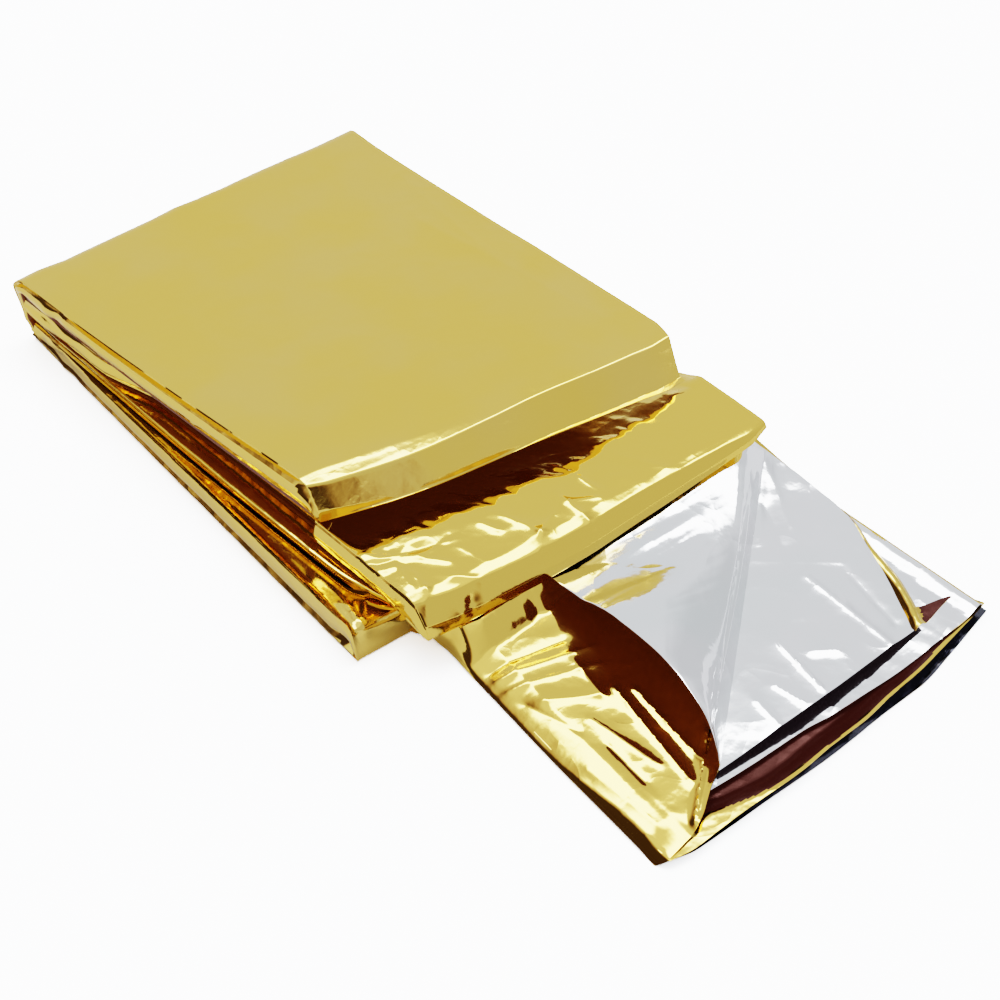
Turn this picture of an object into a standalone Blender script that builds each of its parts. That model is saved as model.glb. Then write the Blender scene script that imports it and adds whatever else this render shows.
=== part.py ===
"""Emergency foil blanket, folded to a strip and the strip laid back and forth in four tiers.

The strip of many thin film layers is one sheet, a little apart from itself at every pass.
Lengths in the tables are millimetres. X runs along the strip, from the closed back to the
open end, Y across it, Z up. The origin is under the middle of the blanket's box, on the floor.
"""

import math
from collections import namedtuple

import bmesh
import bpy

MM = 0.001

# The strip: film folded sixteen deep with air between the layers.
STRIP_THICK = 2.4
LEAF_THICK = 1.1  # the top few layers, which part from the rest at the open end

# How finely the sheet is divided.
STATIONS = 20  # sections across the strip
RUN_STEPS = 8  # steps along each pass
OPEN_STEPS = 6  # steps along the parted end, past the turned corner
TURN_STEPS = 7  # steps round each fold

# Where each of the seven passes lies, counted from the floor up: the height of its middle at
# the back, and under the front folds at the strip's near and far edge.
Pass = namedtuple("Pass", "back front_near front_far")
PASSES = {
    1: Pass(back=1.2, front_near=1.2, front_far=1.2),
    2: Pass(back=3.9, front_near=6.2, front_far=4.4),
    3: Pass(back=6.6, front_near=8.9, front_far=7.1),
    4: Pass(back=9.3, front_near=11.6, front_far=9.8),
    5: Pass(back=12.0, front_near=15.4, front_far=14.2),
    6: Pass(back=14.7, front_near=18.1, front_far=16.9),
    7: Pass(back=17.4, front_near=22.9, front_far=24.4),
}
OPEN_PASS = 3  # the one that runs on past the folds to the open end
FRONT_REF = 116.0  # the X at which the front heights hold
OPEN_START = 122.0  # past here the lowest open pass runs down to the floor
OPEN_LANDED = 188.0  # and lies on it from here on

# The two long edges of each pass: Y at X = 0, and how far they drift with X.
Edges = namedtuple("Edges", "near near_slope far far_slope")
EDGES = {
    1: Edges(near=-0.2, near_slope=-0.008, far=96.8, far_slope=-0.008),
    2: Edges(near=0.3, near_slope=-0.002, far=96.8, far_slope=-0.008),
    3: Edges(near=0.6, near_slope=0.059, far=97.5, far_slope=0.050),
    4: Edges(near=0.6, near_slope=0.057, far=97.8, far_slope=0.066),
    5: Edges(near=0.4, near_slope=0.061, far=97.8, far_slope=0.066),
    6: Edges(near=0.2, near_slope=0.072, far=96.8, far_slope=0.015),
    7: Edges(near=-0.4, near_slope=0.082, far=96.6, far_slope=0.015),
}

# The folds, in the order in which the sheet meets them from its hidden end. reach is how far
# the outside of the fold comes at the near and the far edge.
Fold = namedtuple("Fold", "name level_in level_out side reach_near reach_far")
FOLDS = (
    Fold("tier four front", 2, 1, "front", 126.3, 133.0),
    Fold("back wrap", 1, 7, "back", -8.2, -8.2),
    Fold("tier one front", 7, 6, "front", 105.6, 118.2),
    Fold("second back fold", 6, 5, "back", -3.6, -3.6),
    Fold("tier two front", 5, 4, "front", 138.4, 138.0),
    Fold("third back fold", 4, 3, "back", -3.6, -3.6),
)
HIDDEN_END = 1.0  # X of the sheet's hidden end, inside the back wrap
OPEN_END_NEAR = 201.5  # X of the open end at its two corners
OPEN_END_FAR = 198.8

BEND_DEPTH = 4.0  # a fold's passes are that far back from its outside, more or less
WRAP_LOW_RADIUS = 8.0  # the back wrap: a wide turn at the floor, a tight one at the top
WRAP_HIGH_RADIUS = 5.0

# The corner of the top leaf that is turned back: its crease, and where the corner comes to lie.
CREASE_FAR_X, CREASE_FAR_Y = 141.5, 101.5
CREASE_NEAR_X, CREASE_NEAR_Y = 194.5, 36.0
CREASE_INSET = 1.5  # the turned leaf stops this far short of the crease's far end
CREASE_OVERRUN = 1.0  # and runs on this far past its near end
TURNED_BACK_X = 141.2  # the turned leaf stops here, clear of the fold above it
SHORTEST_TURN = 1.5  # how much of the leaf lies back at least, at the crease's far end
TURN_RADIUS = 1.7
TURN_STATIONS = 13
TURN_RUN_POINTS = 6
EDGE_LIFT = 10.5  # how high the turned leaf's free edge bows up
EDGE_LIFT_SHAPE = 0.7  # under 1 makes the bow fuller than half a sine wave
TIP_SHARE = 0.98  # the bow stops just short of the sine's end, to leave the tip a little up
ROOT_DEPTH = 3.0  # how far the turned leaf's root reaches into the strip
ROOT_SUNK = 0.2  # how far its face lies below the strip's, for a clean join
TURN_SETBACK = 1.0  # the round turn starts this far short of the crease

# Soft unevenness, nothing at the floor and most at the top.
WAVES = (
    # length along X, length along Y, phase, height at full stack
    (83.0, 140.0, 0.4, 0.45),
    (47.0, -61.0, 1.9, 0.25),
    (150.0, 52.0, 3.1, 0.30),
)
STACK_HEIGHT = 25.0

GOLD = (0.62, 0.44, 0.13, 1.0)
SHARP_DEGREES = 50.0  # edges sharper than this stay crisp


def lerp(a, b, t):
    return a + (b - a) * t


def ease(t):
    t = min(max(t, 0.0), 1.0)
    return t * t * (3.0 - 2.0 * t)


def pass_height(level, x, across):
    """Height of the middle of a pass; level may lie between two passes."""
    low = min(max(int(level), 1), 6)
    share = level - low
    heights = []
    for each in (low, low + 1):
        row = PASSES[each]
        front = lerp(row.front_near, row.front_far, across)
        height = lerp(row.back, front, ease(x / FRONT_REF))
        if each == OPEN_PASS:
            landed = STRIP_THICK / 2
            height = lerp(height, landed, open_drop(x))
        heights.append(height)
    return lerp(heights[0], heights[1], share)


def open_drop(x):
    """0 over the stack, 1 where the open end lies on the floor."""
    t = (x - OPEN_START) / (OPEN_LANDED - OPEN_START)
    return math.sin(min(max(t, 0.0), 1.0) * math.pi / 2) ** 1.5


def edge_y(level, x, across):
    """Y of a point, from the two long edges of its pass."""
    low = min(max(int(level), 1), 6)
    share = level - low
    ys = []
    for each in (low, low + 1):
        row = EDGES[each]
        near = row.near + row.near_slope * x
        far = row.far + row.far_slope * x
        ys.append(lerp(near, far, across))
    return lerp(ys[0], ys[1], share)


def uneven(x, y, z):
    """The slight waves of the loose stack, as a change of height."""
    total = 0.0
    for length_x, length_y, phase, height in WAVES:
        total += height * math.sin(2 * math.pi * (x / length_x + y / length_y) + phase)
    return total * max(z, 0.0) / STACK_HEIGHT


def run(points, level, x_from, x_to, across, count=RUN_STEPS):
    """Adds a pass, from one fold to the next, without its end points."""
    for i in range(1, count):
        x = lerp(x_from, x_to, i / count)
        points.append((x, pass_height(level, x, across), level))


def turn(points, fold, across):
    """Adds a fold and returns the X at which its two passes start."""
    reach = lerp(fold.reach_near, fold.reach_far, across)
    outward = 1.0 if fold.side == "front" else -1.0
    guess = reach - outward * BEND_DEPTH
    z_in = pass_height(fold.level_in, guess, across)
    z_out = pass_height(fold.level_out, guess, across)
    radius = abs(z_in - z_out) / 2
    start = reach - outward * (radius + STRIP_THICK / 2)
    middle = (z_in + z_out) / 2
    for i in range(TURN_STEPS + 1):
        angle = math.pi * i / TURN_STEPS
        x = start + outward * radius * math.sin(angle)
        z = middle + (z_in - middle) * math.cos(angle)
        level = lerp(fold.level_in, fold.level_out, i / TURN_STEPS)
        points.append((x, z, level))
    return start


def wrap(points, fold, across):
    """Adds the long turn round the back, from the floor to the top."""
    back = lerp(fold.reach_near, fold.reach_far, across) + STRIP_THICK / 2
    low = PASSES[fold.level_in].back
    high = PASSES[fold.level_out].back
    low_centre = (back + WRAP_LOW_RADIUS, low + WRAP_LOW_RADIUS)
    high_centre = (back + WRAP_HIGH_RADIUS, high - WRAP_HIGH_RADIUS)
    span = high - low
    for centre, radius, first in ((low_centre, WRAP_LOW_RADIUS, 270), (high_centre, WRAP_HIGH_RADIUS, 180)):
        for i in range(TURN_STEPS):
            angle = math.radians(first - 90.0 * i / (TURN_STEPS - 1))
            x = centre[0] + radius * math.cos(angle)
            z = centre[1] + radius * math.sin(angle)
            level = lerp(fold.level_in, fold.level_out, (z - low) / span)
            points.append((x, z, level))
    return low_centre[0], high_centre[0]


def turn_start(fold, across):
    """X at which a fold's passes start."""
    return turn([], fold, across)


def crease_x(y):
    """X of the turned corner's crease at this Y."""
    t = (CREASE_FAR_Y - y) / (CREASE_FAR_Y - CREASE_NEAR_Y)
    return lerp(CREASE_FAR_X, CREASE_NEAR_X, min(max(t, 0.0), 1.0))


def crease_at(across):
    """Where the crease crosses one station of the open pass, as (x, y)."""
    x = (CREASE_FAR_X + CREASE_NEAR_X) / 2
    for _ in range(4):  # settles quickly, as the long edges hardly drift
        x = crease_x(edge_y(OPEN_PASS, x, across))
    return x, edge_y(OPEN_PASS, x, across)


def middle_line(across):
    """The sheet's middle, as (x, z, level), from its hidden end to its open one."""
    tier_four, back_wrap, tier_one, back_two, tier_two, back_three = FOLDS
    wrap_low, wrap_high = wrap([], back_wrap, across)
    points = [(HIDDEN_END, pass_height(2, HIDDEN_END, across), 2)]
    run(points, 2, HIDDEN_END, turn_start(tier_four, across), across)
    run(points, 1, turn(points, tier_four, across), wrap_low, across)
    wrap(points, back_wrap, across)
    run(points, 7, wrap_high, turn_start(tier_one, across), across)
    run(points, 6, turn(points, tier_one, across), turn_start(back_two, across), across)
    run(points, 5, turn(points, back_two, across), turn_start(tier_two, across), across)
    run(points, 4, turn(points, tier_two, across), turn_start(back_three, across), across)
    start = turn(points, back_three, across)
    end = lerp(OPEN_END_NEAR, OPEN_END_FAR, across)
    crease, _ = crease_at(across)
    step_end = crease + LEAF_THICK
    run(points, OPEN_PASS, start, crease, across, RUN_STEPS + 2)
    for x in (crease, step_end):
        points.append((x, pass_height(OPEN_PASS, x, across), OPEN_PASS))
    run(points, OPEN_PASS, step_end, end, across, OPEN_STEPS)
    points.append((end, pass_height(OPEN_PASS, end, across), OPEN_PASS))
    return points


def sheet_sections(across):
    """The two faces of the sheet at one station: points above and below its middle line."""
    line = middle_line(across)
    crease, crease_y = crease_at(across)
    leaf_gone = crease_y > CREASE_NEAR_Y  # nearer than this the top leaf still lies flat
    faces = ([], [])
    for i, (x, z, level) in enumerate(line):
        before = line[max(i - 1, 0)]
        after = line[min(i + 1, len(line) - 1)]
        dx, dz = after[0] - before[0], after[1] - before[1]
        length = math.hypot(dx, dz)
        nx, nz = -dz / length, dx / length
        if level == 1:
            nx, nz = 0.0, -1.0  # the floor side is flat
        for face, side in zip(faces, (1.0, -1.0)):
            reach = side * STRIP_THICK / 2
            if side > 0 and leaf_gone and level == OPEN_PASS and x > crease + LEAF_THICK / 2:
                reach -= LEAF_THICK
            px, pz = x + nx * reach, z + nz * reach
            py = edge_y(level, x, across)
            face.append((px, py, pz + uneven(px, py, pz)))
    return faces


def grid_solid(name, sections):
    """A closed sheet from paired faces, one pair of point rows for each station."""
    bm = bmesh.new()
    rows = []
    for faces in sections:
        rows.append([[bm.verts.new([value * MM for value in p]) for p in face] for face in faces])
    count = len(rows[0][0])
    for (up_a, down_a), (up_b, down_b) in zip(rows, rows[1:]):
        for i in range(count - 1):
            bm.faces.new((up_a[i], up_a[i + 1], up_b[i + 1], up_b[i]))
            bm.faces.new((down_a[i + 1], down_a[i], down_b[i], down_b[i + 1]))
        bm.faces.new((up_a[0], up_b[0], down_b[0], down_a[0]))
        bm.faces.new((up_b[-1], up_a[-1], down_a[-1], down_b[-1]))
    for up, down, turned in ((*rows[0], False), (*rows[-1], True)):
        for i in range(count - 1):
            corners = (up[i + 1], up[i], down[i], down[i + 1])
            bm.faces.new(corners[::-1] if turned else corners)
    bmesh.ops.triangulate(bm, faces=bm.faces, quad_method="FIXED")
    bmesh.ops.recalc_face_normals(bm, faces=bm.faces)
    mesh = bpy.data.meshes.new(name)
    bm.to_mesh(mesh)
    bm.free()
    return bpy.data.objects.new(name, mesh)


def strip_top(x, y):
    """Height of the strip's upper face at its open end."""
    near, far = edge_y(OPEN_PASS, x, 0.0), edge_y(OPEN_PASS, x, 1.0)
    across = (y - near) / (far - near)
    z = pass_height(OPEN_PASS, x, across) + STRIP_THICK / 2
    return z + uneven(x, y, z)


def corner_sections():
    """The turned-back corner of the top leaf: root, round turn, and the leaf lying back."""
    sections = []
    half = LEAF_THICK / 2
    for k in range(TURN_STATIONS):
        share = k / (TURN_STATIONS - 1)
        y = lerp(CREASE_FAR_Y - CREASE_INSET, CREASE_NEAR_Y + CREASE_OVERRUN, share)
        crease = crease_x(y)
        turn_x = crease - TURN_SETBACK
        base = strip_top(crease, y) - half - ROOT_SUNK
        line = [(crease - ROOT_DEPTH, base), (turn_x, base)]
        middle = base + TURN_RADIUS
        for i in range(1, TURN_STEPS):
            angle = math.radians(-90.0 + 180.0 * i / (TURN_STEPS - 1))
            line.append((turn_x + TURN_RADIUS * math.cos(angle), middle + TURN_RADIUS * math.sin(angle)))
        last_x, last_z = line[-1]
        back = min(TURNED_BACK_X, last_x - SHORTEST_TURN)
        reach = last_x - back
        for i in range(1, TURN_RUN_POINTS + 1):
            t = i / TURN_RUN_POINTS
            x = last_x - reach * t
            rise = strip_top(x, y) - strip_top(crease, y)
            bow = EDGE_LIFT * ease(share) * math.sin(math.pi * min(t, TIP_SHARE)) ** EDGE_LIFT_SHAPE
            line.append((x, last_z + rise + bow))
        faces = ([], [])
        for i, (x, z) in enumerate(line):
            before, after = line[max(i - 1, 0)], line[min(i + 1, len(line) - 1)]
            dx, dz = after[0] - before[0], after[1] - before[1]
            length = math.hypot(dx, dz)
            for face, side in zip(faces, (half, -half)):
                face.append((x - dz / length * side, y, z + dx / length * side))
        sections.append(faces)
    return sections


def film_material():
    material = bpy.data.materials.new("gold_film")
    material.use_nodes = True
    shader = material.node_tree.nodes["Principled BSDF"]
    shader.inputs["Base Color"].default_value = GOLD
    shader.inputs["Metallic"].default_value = 1.0
    shader.inputs["Roughness"].default_value = 0.18
    return material


def centre_on_floor(mesh):
    """Puts the middle of the box over the origin, with its lowest point on the floor."""
    xs, ys, zs = ([v.co[axis] for v in mesh.vertices] for axis in range(3))
    shift = ((min(xs) + max(xs)) / 2, (min(ys) + max(ys)) / 2, min(zs))
    for v in mesh.vertices:
        v.co.x -= shift[0]
        v.co.y -= shift[1]
        v.co.z -= shift[2]


def main():
    for ob in list(bpy.data.objects):
        bpy.data.objects.remove(ob, do_unlink=True)
    blanket_parts = bpy.data.collections.new("emergency_foil_blanket")
    cutters = bpy.data.collections.new("helpers")
    for collection in (blanket_parts, cutters):
        bpy.context.scene.collection.children.link(collection)

    sections = [sheet_sections(k / (STATIONS - 1)) for k in range(STATIONS)]
    blanket = grid_solid("foil_blanket", sections)
    corner = grid_solid("turned_corner", corner_sections())
    blanket_parts.objects.link(blanket)
    cutters.objects.link(corner)
    corner.hide_render = True
    corner.display_type = "WIRE"

    join = blanket.modifiers.new("join_corner", "BOOLEAN")
    join.operation = "UNION"
    join.solver = "EXACT"
    join.object = corner
    bpy.context.view_layer.update()
    graph = bpy.context.evaluated_depsgraph_get()
    whole = bpy.data.meshes.new_from_object(blanket.evaluated_get(graph))
    blanket.modifiers.clear()
    blanket.data = whole
    centre_on_floor(whole)
    bpy.data.objects.remove(corner, do_unlink=True)

    whole.materials.clear()
    whole.materials.append(film_material())
    whole.shade_smooth()
    whole.set_sharp_from_angle(angle=math.radians(SHARP_DEGREES))


main()
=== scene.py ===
# Emergency foil blanket: gold and silver film, folded to a strip that lies back and forth.
import math
import bpy
import numpy as np
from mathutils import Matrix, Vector


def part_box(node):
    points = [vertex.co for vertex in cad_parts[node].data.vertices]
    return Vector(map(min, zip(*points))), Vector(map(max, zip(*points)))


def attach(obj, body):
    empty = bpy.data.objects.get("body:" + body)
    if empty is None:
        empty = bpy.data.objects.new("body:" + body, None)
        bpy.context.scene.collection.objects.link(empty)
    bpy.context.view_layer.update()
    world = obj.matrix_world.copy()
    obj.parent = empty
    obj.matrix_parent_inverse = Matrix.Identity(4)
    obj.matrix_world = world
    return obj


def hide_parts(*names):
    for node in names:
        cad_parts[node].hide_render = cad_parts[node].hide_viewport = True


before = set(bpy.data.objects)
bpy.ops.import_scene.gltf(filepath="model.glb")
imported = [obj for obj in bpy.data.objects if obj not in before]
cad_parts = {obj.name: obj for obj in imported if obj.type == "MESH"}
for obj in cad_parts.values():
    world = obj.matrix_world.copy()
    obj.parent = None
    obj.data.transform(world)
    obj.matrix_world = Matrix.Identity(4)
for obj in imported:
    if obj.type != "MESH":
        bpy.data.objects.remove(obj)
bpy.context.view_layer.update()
mm = 0.001

# the strip, in millimetres: x along it from the closed back, y across it, z up from the floor
strip = {
    "backReach": -8.2,  # the CAD box starts at this x
    "nearReach": -1.2,  # and at this y
    "frontRef": 116.0,  # the x at which the front heights hold
    "frontHeight": 25.0,
    "lowest": 0.02,  # nothing lies lower
    "leafThick": 0.15,
    "sharpAngle": 40.0,  # folds sharper than this aren't smoothed
    # long gentle swells: length along x, length along y, phase, height
    "swells": ((83.0, 140.0, 0.4, 0.22), (47.0, -61.0, 1.9, 0.10), (150.0, 52.0, 3.1, 0.12)),
}
# each slab of layers: the height of its top and its bottom, at the back and then across the front,
# and its near and far edge: y at x = 0, and how far it drifts with x
slabs = {
    "one": {
        "top": (18.7, ((0, 24.4), (1, 25.4))),
        "bottom": (13.5, ((0, 15.3), (1, 16.4))),
        "near": (-0.4, 0.088),
        "far": (96.6, 0.010),
    },
    "two": {
        "top": (13.0, ((0, 16.6), (0.5, 16.4), (0.8, 15.9), (1, 15.5))),
        "bottom": (8.2, ((0, 10.2), (1, 9.4))),
        "near": (0.3, 0.070),
        "far": (97.4, 0.030),
    },
    "three": {
        "top": (7.9, ((0, 9.9), (1, 8.6))),
        "bottom": (5.6, ((0, 7.8), (1, 5.9))),
        "near": (0.2, 0.056),
        "far": (97.6, 0.050),
    },
    "four": {
        "top": (5.3, ((0, 7.2), (1, 5.5))),
        "bottom": (0.35, ((0, 0.1), (1, 0.1))),
        "near": (0.2, -0.008),
        "far": (96.8, -0.008),
    },
}
# tier two's near edge is drawn in under tier one and comes out in front of it, and tier one's far edge
# is drawn in at its front: by how much, and from which x over which length
drawnIn = {
    "two": (3.4, (24, 20), (99, 3.5)),
    "one": (1.6, (107, 9)),
}
low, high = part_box("foil_blanket")
origin = np.array((low[0] - strip["backReach"] * mm, low[1] - strip["nearReach"] * mm, low[2]))


def lerp(a, b, t):
    return a + (b - a) * t


def ease(t):
    t = np.clip(t, 0.0, 1.0)
    return t * t * (3.0 - 2.0 * t)


def ramp(x, start, over):
    # 0 up to start, 1 from start + over on, smoothly between
    return ease((x - start) / over)


def along(rows, t):
    # a value read off a short table of (t, value), on a smooth curve that never overshoots its rows
    keys = np.array(rows, float)
    spot, value = keys[:, 0], keys[:, 1]
    secant = np.diff(value) / np.diff(spot)
    slope = np.zeros(len(spot))
    slope[0], slope[-1] = secant[0], secant[-1]
    before, after = secant[:-1], secant[1:]
    same = before * after > 0
    slope[1:-1][same] = 2 * before[same] * after[same] / (before[same] + after[same])
    t = np.clip(t, spot[0], spot[-1])
    i = np.clip(np.searchsorted(spot, t, side="right") - 1, 0, len(spot) - 2)
    span = spot[i + 1] - spot[i]
    u = (t - spot[i]) / span
    start = (1 + 2 * u) * (1 - u) ** 2 * value[i] + u * (1 - u) ** 2 * span * slope[i]
    return start + u * u * (3 - 2 * u) * value[i + 1] + u * u * (u - 1) * span * slope[i + 1]


def curveOf(value):
    # a number, a table or a function, as a function
    if callable(value):
        return value
    if isinstance(value, tuple):
        return lambda t: along(value, t)
    return lambda t: value + 0 * np.asarray(t)


def bent(rows, t):
    # a value read off a short table, with sharp bends at its rows
    keys = np.array(rows, float)
    return np.interp(t, keys[:, 0], keys[:, 1])


def slabZ(name, side, x, across):
    back, front = slabs[name][side]
    return lerp(back, along(front, across), ease(x / strip["frontRef"]))


def slabY(name, x, across):
    near, nearDrift = slabs[name]["near"]
    far, farDrift = slabs[name]["far"]
    nearY, farY = near + nearDrift * x, far + farDrift * x
    if name == "two":
        by, start, end = drawnIn["two"]
        nearY = nearY + by * ramp(x, *start) * (1 - ramp(x, *end))
    if name == "one":
        by, start = drawnIn["one"]
        farY = farY - by * ramp(x, *start)
    return lerp(nearY, farY, across)


def shareAcross(name, x, y):
    # how far across a slab a point is, from 0 at its near edge to 1 at its far edge
    near, far = slabY(name, x, 0.0), slabY(name, x, 1.0)
    return np.clip((y - near) / (far - near), 0, 1)


# creases and facets
def facets(x, y, cell, seed, stretch=1.0, degrees=0.0):
    # flat facets with sharp edges between them, as crumpled film has, from about -1 to 1
    turn = math.radians(degrees)
    gx = (x * math.cos(turn) + y * math.sin(turn)) / (cell * stretch)
    gy = (-x * math.sin(turn) + y * math.cos(turn)) / cell
    size = 64
    jitter = 0.62
    hair = 1e-6
    table = np.random.default_rng(seed).random((size, size, 3))
    baseI, baseJ = np.floor(gx).astype(int), np.floor(gy).astype(int)
    out = np.zeros(gx.shape)
    found = np.zeros(gx.shape, bool)

    def corner(i, j):
        row = table[i % size, j % size]
        return i + (row[..., 0] - 0.5) * jitter, j + (row[..., 1] - 0.5) * jitter, row[..., 2] * 2 - 1

    for di in (0, -1, 1):
        for dj in (0, -1, 1):
            i, j = baseI + di, baseJ + dj
            quad = [corner(i, j), corner(i + 1, j), corner(i + 1, j + 1), corner(i, j + 1)]
            for tri in ((0, 1, 2), (0, 2, 3)):
                (ax, ay, ah), (bx, by, bh), (cx, cy, ch) = (quad[k] for k in tri)
                det = (by - cy) * (ax - cx) + (cx - bx) * (ay - cy)
                u = ((by - cy) * (gx - cx) + (cx - bx) * (gy - cy)) / det
                v = ((cy - ay) * (gx - cx) + (ax - cx) * (gy - cy)) / det
                inside = (u >= -hair) & (v >= -hair) & (u + v <= 1 + hair) & ~found
                out = np.where(inside, u * ah + v * bh + (1 - u - v) * ch, out)
                found |= inside
    return out


def crumple(x, y, rows):
    # facets of several sizes over each other: height, cell, seed, stretch, degrees
    out = 0.0
    for height, *shape in rows:
        out = out + height * facets(x, y, *shape)
    return out


def creases(x, y, rows):
    # ridges or troughs along short lines: x1, y1, x2, y2, height, how wide to each side
    out = np.zeros(x.shape)
    for x1, y1, x2, y2, height, wide in rows:
        dx, dy = x2 - x1, y2 - y1
        length = math.hypot(dx, dy)
        forward = ((x - x1) * dx + (y - y1) * dy) / length
        aside = np.abs((x - x1) * dy - (y - y1) * dx) / length
        beyond = np.maximum(np.maximum(-forward, forward - length), 0.0)
        out += height * np.exp(-np.hypot(aside, beyond * 0.7) / wide)  # they fade more slowly at the ends
    return out


def uneven(x, y, z):
    # how much higher or lower the stack lies than its plain shape, more so towards its top
    out = np.zeros(x.shape)
    for lengthX, lengthY, phase, height in strip["swells"]:
        out += height * np.sin(2 * math.pi * (x / lengthX + y / lengthY) + phase)
    return out * z / strip["frontHeight"]


def spacing(*parts):
    # numbers from start to end in steps, part after part: (start, end, step), ...
    runs = [np.arange(a, b, step) for a, b, step in parts]
    return np.concatenate([*runs, [parts[-1][1]]])


# meshes
def makePiece(name, points, faces, materials, faceSlots):
    mesh = bpy.data.meshes.new(name)
    spots = np.asarray(points, float).reshape(-1, 3).copy()
    spots[:, 2] = np.maximum(spots[:, 2], strip["lowest"])
    spots = spots * mm + origin
    mesh.from_pydata(spots.tolist(), [], faces)
    for material in materials:
        mesh.materials.append(material)
    mesh.polygons.foreach_set("material_index", np.asarray(faceSlots, np.int32))
    mesh.update()
    mesh.shade_smooth()
    mesh.set_sharp_from_angle(angle=math.radians(strip["sharpAngle"]))
    piece = bpy.data.objects.new(name, mesh)
    bpy.context.scene.collection.objects.link(piece)
    return piece


def normalsOf(points):
    # normals of a grid of points, pointing to the side that its rows and columns turn to
    du = np.gradient(points, axis=0)
    dv = np.gradient(points, axis=1)
    n = np.cross(du, dv)
    size = np.linalg.norm(n, axis=-1, keepdims=True)
    return n / np.maximum(size, 1e-9)


# rows of points down a slab's long edges, as shares of its height, and the height from which its bulges
# are at their full size
wallLevels = np.array((0.04, 0.08, 0.12, 0.18, 0.26, 0.31, 0.36, 0.42, 0.5, 0.58, 0.66, 0.72, 0.78,
                       0.84, 0.92))
wallFullHeight = 4.0


def bundle(name, outer, inner, wall, material, coarse=4, within=0.0, bright=0):
    # a closed slab: outer and inner skins as grids of the same rows, and walls down its two long
    # edges; wall(x, z, share from the top film down) says how far each wall bulges outward
    rows, count = outer.shape[:2]
    picks = np.unique(np.append(np.arange(0, count, coarse), count - 1))
    under = inner[:, picks]
    across = outer[:, -1] - outer[:, 0]
    across = across / np.linalg.norm(across, axis=-1, keepdims=True)
    walls = []
    for side, column in ((-1, 0), (1, -1)):
        top, bottom = outer[:, column], inner[:, column]
        grid = top[:, None] + (bottom - top)[:, None] * wallLevels[None, :, None]
        height = np.linalg.norm(bottom - top, axis=-1)[:, None]
        fromTop = wallLevels[None, :].repeat(rows, 0)
        push = wall(grid[..., 0], grid[..., 2], fromTop) * np.clip(height / wallFullHeight, 0, 1)
        walls.append(grid + side * push[..., None] * across[:, None])
    near, far = walls
    loop = np.concatenate([outer, far, under[:, ::-1], near[:, ::-1]], axis=1)
    n = loop.shape[1]
    index = np.arange(rows * n).reshape(rows, n)
    beside = np.roll(index, -1, axis=1)
    faces = np.stack([index[:-1], index[1:], beside[1:], beside[:-1]], axis=-1).reshape(-1, 4)
    faces = faces.tolist()
    faces.append(index[0].tolist())
    faces.append(index[-1, ::-1].tolist())
    # within is the share of its inner skin, from the near edge, that is painted in shade with dark gold for
    # the shade between the layers, apart from the bright last rows at its lip
    column = np.tile(np.arange(n), rows - 1)
    last = count + len(wallLevels) + len(picks)
    shaded = (column >= last - within * (len(picks) + 1)) & (column < last)
    shaded &= np.arange(rows - 1).repeat(n) < rows - 1 - bright
    slots = np.append(shaded, (False, False))
    return makePiece(name, loop, faces, [material, paintedShadeGold], slots)


def leaf(name, points, films, turned=0, third=None):
    # a thin closed sheet of film; films are on its upper side, under it and, where third says so, on its
    # upper side again; turned is how many of its first columns show the upper one underneath too
    rows, count = points.shape[:2]
    lower = points - normalsOf(points) * strip["leafThick"]
    both = np.concatenate([points.reshape(-1, 3), lower.reshape(-1, 3)])
    index = np.arange(rows * count).reshape(rows, count)
    quads = np.stack([index[:-1, :-1], index[1:, :-1], index[1:, 1:], index[:-1, 1:]], axis=-1)
    quads = quads.reshape(-1, 4)
    rim = np.concatenate([index[0, :], index[1:, -1], index[-1, -2::-1], index[-2:0:-1, 0]])
    ahead = np.roll(rim, -1)
    shift = rows * count
    edge = np.stack([rim, ahead, ahead + shift, rim + shift], axis=-1)
    faces = np.concatenate([quads, quads[:, ::-1] + shift, edge]).tolist()
    onTop = np.zeros(len(quads), int)
    if third is not None:
        onTop = third[:-1, :-1].reshape(-1) * 2
    under = np.tile(np.arange(count - 1) >= turned, rows - 1).astype(int)
    return makePiece(name, both, faces, films, np.concatenate([onTop, under, np.zeros(len(edge), int)]))


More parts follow.
